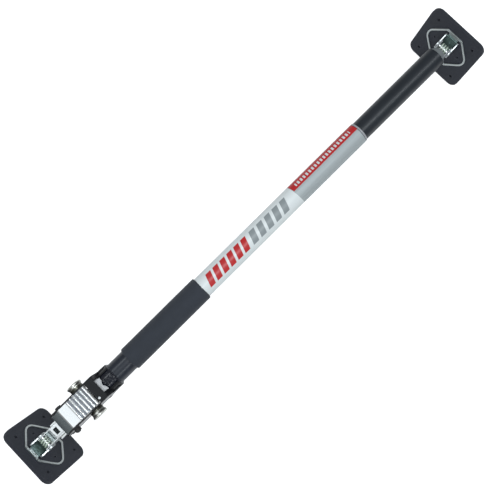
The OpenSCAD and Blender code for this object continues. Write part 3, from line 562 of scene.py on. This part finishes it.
# Painted shade on the knobs where they meet the walls.
root = zone(place.side("Y"), near_root, far_root, 0.6)
bright = patches.node("ValToRGB", {"stops": [
    (0.3, (0.4, 0.4, 0.35)), (0.5, (0.66, 0.66, 0.61)), (0.68, (0.88, 0.88, 0.84))]},
    {"Fac": patches})
feed(inputs, Base_Color=root.blend(bright, (0.09, 0.09, 0.075)),
     Roughness=patches * 0.18 + 0.2, Normal=patches.relief(0.3, 0.0001))
softened("release_knobs", "nickel_knob", nickel, 0.5, 3)


def knurl_tree(name):
    """Ridges round a knob's flange."""
    tree = bpy.data.node_groups.new(name, "GeometryNodeTree")
    for label, kind in (("Count", "Int"), ("Radius", "Float"), ("Ridge", "Vector"),
                        ("Place", "Vector"), ("Finish", "Material")):
        tree.interface.new_socket(label, in_out="INPUT", socket_type="NodeSocket" + kind)
    tree.interface.new_socket("Mesh", in_out="OUTPUT", socket_type="NodeSocketGeometry")
    make, join = tree.nodes.new, tree.links.new
    given, made = make("NodeGroupInput"), make("NodeGroupOutput")
    rim, ridge, repeat, lay, solid, painted, seat = (make("GeometryNode" + kind) for kind in (
        "MeshCircle", "MeshCube", "InstanceOnPoints", "Transform", "RealizeInstances",
        "SetMaterial", "InputPosition"))
    outwards = make("FunctionNodeAlignRotationToVector")
    outwards.axis = "X"
    lay.inputs["Rotation"].default_value = (math.radians(90), 0, 0)
    for source, sink in (
            (given.outputs["Count"], rim.inputs["Vertices"]),
            (given.outputs["Radius"], rim.inputs["Radius"]),
            (given.outputs["Ridge"], ridge.inputs["Size"]),
            (rim.outputs["Mesh"], repeat.inputs["Points"]),
            (ridge.outputs["Mesh"], repeat.inputs["Instance"]),
            (seat.outputs["Position"], outwards.inputs["Vector"]),
            (outwards.outputs["Rotation"], repeat.inputs["Rotation"]),
            (repeat.outputs["Instances"], lay.inputs["Geometry"]),
            (given.outputs["Place"], lay.inputs["Translation"]),
            (lay.outputs["Geometry"], solid.inputs["Geometry"]),
            (solid.outputs["Geometry"], painted.inputs["Geometry"]),
            (given.outputs["Finish"], painted.inputs["Material"]),
            (painted.outputs["Geometry"], made.inputs["Mesh"])):
        join(source, sink)
    return tree


ridges = knurl_tree("knob_ridges")
ridge_count, ridge_wide, ridge_long = 44, 0.8 * MM, 1.7 * MM
ridge_sink, ridge_inset = 0.45 * MM, 2.4 * MM
for word, ridge_y in (("near", knob_low.y + ridge_inset), ("far", knob_high.y - ridge_inset)):
    knurl = grown("knurl_" + word, ridges, {
        "Count": ridge_count, "Radius": knob_r - ridge_sink,
        "Ridge": (ridge_wide, ridge_wide, ridge_long), "Place": (knob_x, ridge_y, knob_z),
        "Finish": nickel})
    carry(knurl, "release", "nickel_knob")


# Swivel feet: a zinc U bracket on a pin, with dark greenish painted shade inside, is riveted to a
# six-sided zinc plate on a square pad of moulded rubber, with screw holes near its corners.
bracket_low, bracket_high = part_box("top_bracket")
bracket_wall = 2.4
dull_zinc = zinc("dull_zinc", (0.42, 0.46, 0.46), (0.54, 0.57, 0.57), 0.36, 0.12)
rubber, inputs, place = new_finish("moulded_rubber", Specular_IOR_Level=0.35)
dust = place.grain(28, 5, 0.6)
feed(inputs, Base_Color=dust.blend((0.018, 0.021, 0.028), (0.033, 0.036, 0.048)),
     Roughness=dust * 0.2 + 0.52, Normal=place.grain(1800, 2).relief(0.3, 0.00012))
bracket_zinc, inputs, place = new_finish("bracket_zinc", metallic=0.85)
cloud = place.grain(90, 4)
within = (bracket_high.y - bracket_low.y) / 2 / MM - bracket_wall
# Painted shade inside the bracket, dark and greenish.
painted_inner_shade = zone(place.side("Y"), -within, within, 0.15)
feed(inputs, Base_Color=painted_inner_shade.blend(cloud.blend((0.58, 0.62, 0.63), (0.72, 0.75, 0.76)),
                                     cloud.blend((0.1, 0.15, 0.145), (0.2, 0.27, 0.26))),
     Roughness=painted_inner_shade * 0.05 + 0.32)
for end in ("jack", "top"):
    softened(end + "_bracket", "bright_zinc", bracket_zinc, 0.6, 3)
    softened(end + "_bracket_rivets", "turned_steel", bracket_zinc, 0.25)
    softened(end + "_plate", "dull_zinc", dull_zinc, 0.45, 3)
    softened(end + "_pin", "turned_steel", turned_steel, 0.3)
    softened(end + "_pad", "black_rubber", rubber, 1.1, 4)


# Inner pole: thinner tube with a smooth satin coat. A nylon twist lock is on its hidden end,
# and a zinc plated cone with two ears closes the other.
satin_coat = coat("satin_coat", (0.009, 0.013, 0.018), (0.016, 0.021, 0.028), 0.33, 0.08, 3000,
                  0.00002)
softened("inner_tube", "black_satin_coat", satin_coat, 0.2)
cast_zinc, inputs, place = new_finish("cast_zinc", metallic=0.4)
cloud = place.grain(120, 4)
feed(inputs, Base_Color=cloud.blend((0.26, 0.28, 0.29), (0.36, 0.38, 0.39)),
     Roughness=cloud * 0.1 + 0.45, Normal=cloud.relief(0.2, 0.00005))
softened("top_fitting", "dull_zinc", cast_zinc, 0.4)
for node, finish in (("lock_plug", white_nylon), ("lock_sleeve", white_nylon),
                     ("lock_screw", turned_steel)):
    nodes[node].data.materials[0] = finish


# Floor: white sheet under the pole. To the camera and in bright metal it is white, but for the
# object's shadow.
reach, seen_level, mirrored_level = 6, 0.7, 0.25
floor_mesh = bpy.data.meshes.new("floor")
floor_mesh.from_pydata([(-reach, -reach, 0), (reach, -reach, 0), (reach, reach, 0),
                        (-reach, reach, 0)], [], [(0, 1, 2, 3)])
floor = bpy.data.objects.new("floor", floor_mesh)
scene.collection.objects.link(floor)
sheet, inputs, place = new_finish("floor_sheet", Roughness=0.9)
inputs["Base Color"].default_value = (0.8, 0.8, 0.8, 1)
inputs["Emission Color"].default_value = (1, 1, 1, 1)


def rays(tree, kind):
    """1 for rays of one kind."""
    return Flow(tree, tree.nodes.new("ShaderNodeLightPath").outputs[f"Is {kind} Ray"])


sheet_tree = sheet.node_tree
feed(inputs, Emission_Strength=rays(sheet_tree, "Camera") * seen_level
     + rays(sheet_tree, "Glossy") * mirrored_level
     + rays(sheet_tree, "Transmission") * mirrored_level)
floor_mesh.materials.append(sheet)


# Light: a pale room, and five flat soft boxes over the pole. Each is given by its name, its
# middle, its two sides in metres and its power.
world = bpy.data.worlds.new("room")
scene.world = world
world.use_nodes = True
room_level, camera_level = 0.3, 0.7
room = world.node_tree.nodes["Background"].inputs
room["Color"].default_value = (0.96, 0.98, 1, 1)
feed(room, Strength=rays(world.node_tree, "Camera") * camera_level + room_level)
lamp_colour = (0.9, 0.96, 1)
for name, middle, size, power in (
        ("box_left", (-0.7, 0.82, 1.35), (1.1, 0.22), 3.7),
        ("box_right", (-0.7, -1.25, 1.35), (1.1, 0.34), 5.4),
        ("box_jack", (-0.915, 0.12, 1.4), (0.44, 0.8), 1.1),
        ("box_end", (0.85, -0.42, 1.35), (0.9, 0.3), 4.5),
        ("box_middle", (-0.02, -0.16, 1.6), (0.5, 0.5), 10.5)):
    lamp = bpy.data.lights.new(name, "AREA")
    lamp.shape, lamp.energy, lamp.color = "RECTANGLE", power, lamp_colour
    lamp.size, lamp.size_y = size
    box = bpy.data.objects.new(name, lamp)
    box.location = middle
    scene.collection.objects.link(box)
